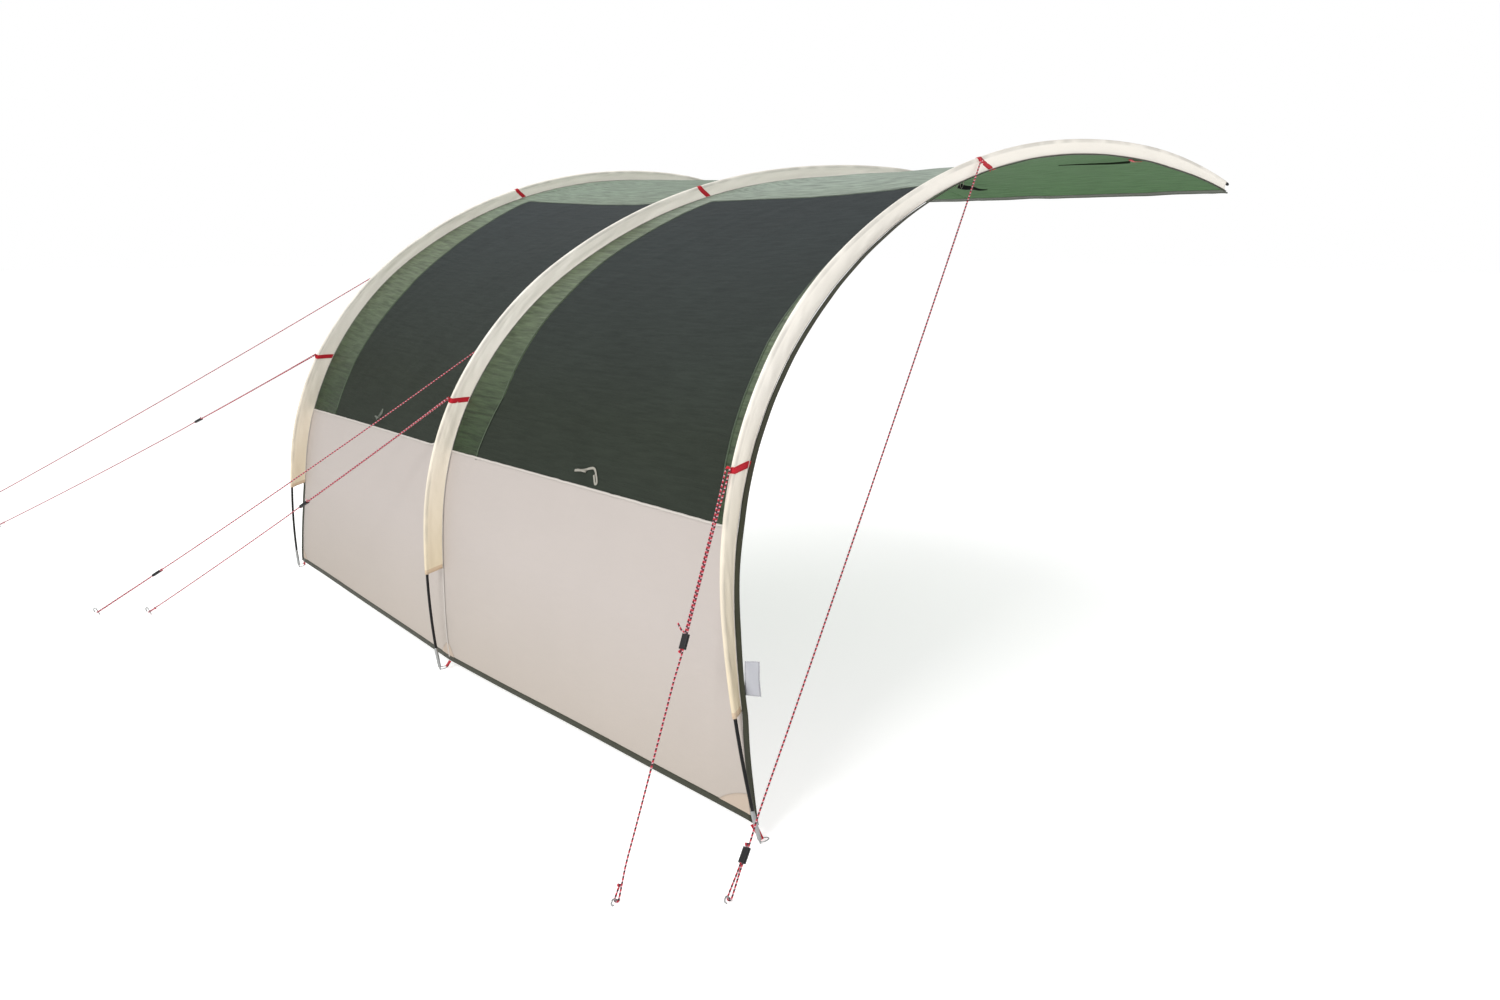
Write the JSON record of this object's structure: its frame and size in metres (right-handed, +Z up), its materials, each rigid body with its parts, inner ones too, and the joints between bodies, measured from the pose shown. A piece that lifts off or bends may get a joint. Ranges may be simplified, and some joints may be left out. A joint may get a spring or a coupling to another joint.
{
  "type": "screen house",
  "caption": "Arched fabric camping shelter with a low wall, screened windows, bent poles in outer sleeves, peg-down ring feet and guy lines; front, back and one long side stay open.",
  "frame": {"origin": "on the ground at the lower end of the middle arch's foot pin", "axes": "+X from the ground wall to the free long edge, +Y along the tunnel to the rear arch, +Z up"},
  "size_m": [4.3391, 6.6196, 2.281],
  "materials": {
    "pole": "satin black glass fibre",
    "steel": "drawn tube and bent wire",
    "webbing": "woven red webbing",
    "sleeve": "plain weave, light beige",
    "wall": "coated plain weave, beige",
    "canopy": "coated plain weave, sage green",
    "screen": "fine charcoal mesh",
    "blind": "plain weave, dark olive",
    "tape": "woven dark olive tape",
    "guy": "braided red cord with dark and white flecks",
    "runner": "moulded black plastic",
    "peg": "bent steel wire",
    "toggle": "light webbing bar",
    "label": "satin white tape"
  },
  "bodies": {
    "awning": {"pole_rear_lower": "pole", "pole_rear_shoulder": "pole", "pole_rear_roof": "pole", "foot_tube_rear": "steel", "foot_loop_rear": "webbing", "sleeve_rear": "sleeve", "pole_middle_lower": "pole", "pole_middle_shoulder": "pole", "pole_middle_roof": "pole", "foot_tube_middle": "steel", "foot_loop_middle": "webbing", "sleeve_middle": "sleeve", "pole_front_lower": "pole", "pole_front_shoulder": "pole", "pole_front_roof": "pole", "foot_tube_front": "steel", "foot_loop_front": "webbing", "sleeve_front": "sleeve", "wall_rear_bay": "wall", "canopy_rear_bay": "canopy", "screen_rear_bay": "screen", "blind_rear_bay": "blind", "wall_front_bay": "wall", "canopy_front_bay": "canopy", "screen_front_bay": "screen", "blind_front_bay": "blind", "ground_hem": "tape", "edge_rear": "tape", "edge_front": "tape", "vehicle_edge": "tape", "care_label": "label", "strap_rear_mid": "webbing", "guy_rear_mid": "guy", "strap_rear_top": "webbing", "guy_rear_top": "guy", "strap_middle_mid": "webbing", "guy_middle_mid": "guy", "strap_middle_top": "webbing", "guy_middle_top": "guy", "strap_front_mid": "webbing", "guy_front_mid": "guy", "strap_front_top": "webbing", "guy_front_top": "guy"},
    "runner_rear_mid": {"runner_rear_mid": "runner"},
    "peg_rear_mid": {"peg_rear_mid": "peg"},
    "runner_rear_top": {"runner_rear_top": "runner"},
    "peg_rear_top": {"peg_rear_top": "peg"},
    "runner_middle_mid": {"runner_middle_mid": "runner"},
    "peg_middle_mid": {"peg_middle_mid": "peg"},
    "runner_middle_top": {"runner_middle_top": "runner"},
    "peg_middle_top": {"peg_middle_top": "peg"},
    "runner_front_mid": {"runner_front_mid": "runner"},
    "peg_front_mid": {"peg_front_mid": "peg"},
    "runner_front_top": {"runner_front_top": "runner"},
    "peg_front_top": {"peg_front_top": "peg"},
    "ring_pin_rear": {"ring_pin_rear": "steel"},
    "ring_pin_middle": {"ring_pin_middle": "steel"},
    "ring_pin_front": {"ring_pin_front": "steel"},
    "toggle_rear_bay": {"toggle_rear_bay": "toggle"},
    "toggle_front_bay": {"toggle_front_bay": "toggle"}
  },
  "joints": [
    {"name": "runner_rear_mid_slide", "type": "slide", "parent": "awning", "child": "runner_rear_mid", "axis": [0.4355, -0.7994, 0.4139], "range_m": [-0.03, 0.15]},
    {"name": "peg_rear_mid_pull", "type": "slide", "parent": "awning", "child": "peg_rear_mid", "axis": [-0.197, 0.3616, 0.9113], "range_m": [0, 0.2]},
    {"name": "runner_rear_top_slide", "type": "slide", "parent": "awning", "child": "runner_rear_top", "axis": [0.6374, -0.6179, 0.4603], "range_m": [-0.03, 0.15]},
    {"name": "peg_rear_top_pull", "type": "slide", "parent": "awning", "child": "peg_rear_top", "axis": [-0.3439, 0.3333, 0.8779], "range_m": [0, 0.2]},
    {"name": "runner_middle_mid_slide", "type": "slide", "parent": "awning", "child": "runner_middle_mid", "axis": [0.4036, -0.7442, 0.5322], "range_m": [-0.03, 0.15]},
    {"name": "peg_middle_mid_pull", "type": "slide", "parent": "awning", "child": "peg_middle_mid", "axis": [-0.2555, 0.4711, 0.8443], "range_m": [0, 0.2]},
    {"name": "runner_middle_top_slide", "type": "slide", "parent": "awning", "child": "runner_middle_top", "axis": [0.529, -0.6631, 0.5296], "range_m": [-0.03, 0.15]},
    {"name": "peg_middle_top_pull", "type": "slide", "parent": "awning", "child": "peg_middle_top", "axis": [-0.3405, 0.4268, 0.8378], "range_m": [0, 0.2]},
    {"name": "runner_front_mid_slide", "type": "slide", "parent": "awning", "child": "runner_front_mid", "axis": [0.4664, 0.225, 0.8555], "range_m": [-0.03, 0.15]},
    {"name": "peg_front_mid_pull", "type": "slide", "parent": "awning", "child": "peg_front_mid", "axis": [-0.7747, -0.3738, 0.5099], "range_m": [0, 0.2]},
    {"name": "runner_front_top_slide", "type": "slide", "parent": "awning", "child": "runner_front_top", "axis": [0.6238, 0.2693, 0.7338], "range_m": [-0.03, 0.15]},
    {"name": "peg_front_top_pull", "type": "slide", "parent": "awning", "child": "peg_front_top", "axis": [-0.686, -0.2962, 0.6646], "range_m": [0, 0.2]},
    {"name": "ring_rear_turn", "type": "hinge", "parent": "awning", "child": "ring_pin_rear", "pos_m": [0.117, 2.003, 0], "axis": [-0.1238, -0.1555, 0.98], "range_deg": [-1.5, 1.5]},
    {"name": "ring_middle_turn", "type": "hinge", "parent": "awning", "child": "ring_pin_middle", "pos_m": [0, 0, 0], "axis": [-0.1297, 0.0313, 0.9911], "range_deg": [-1.5, 1.5]},
    {"name": "ring_front_turn", "type": "hinge", "parent": "awning", "child": "ring_pin_front", "pos_m": [0.083, -2.002, 0], "axis": [-0.122, 0.2171, 0.9685], "range_deg": [-1.5, 1.5]},
    {"name": "toggle_rear_bay_turn", "type": "hinge", "parent": "awning", "child": "toggle_rear_bay", "pos_m": [0.19633, 1.01144, 0.90789], "axis": [-0.9458, -0.0615, 0.3188], "range_deg": [-35, 35]},
    {"name": "toggle_front_bay_turn", "type": "hinge", "parent": "awning", "child": "toggle_front_bay", "pos_m": [0.16838, -0.87786, 0.93558], "axis": [-0.9405, 0.0357, 0.3379], "range_deg": [-35, 35]}
  ]
}
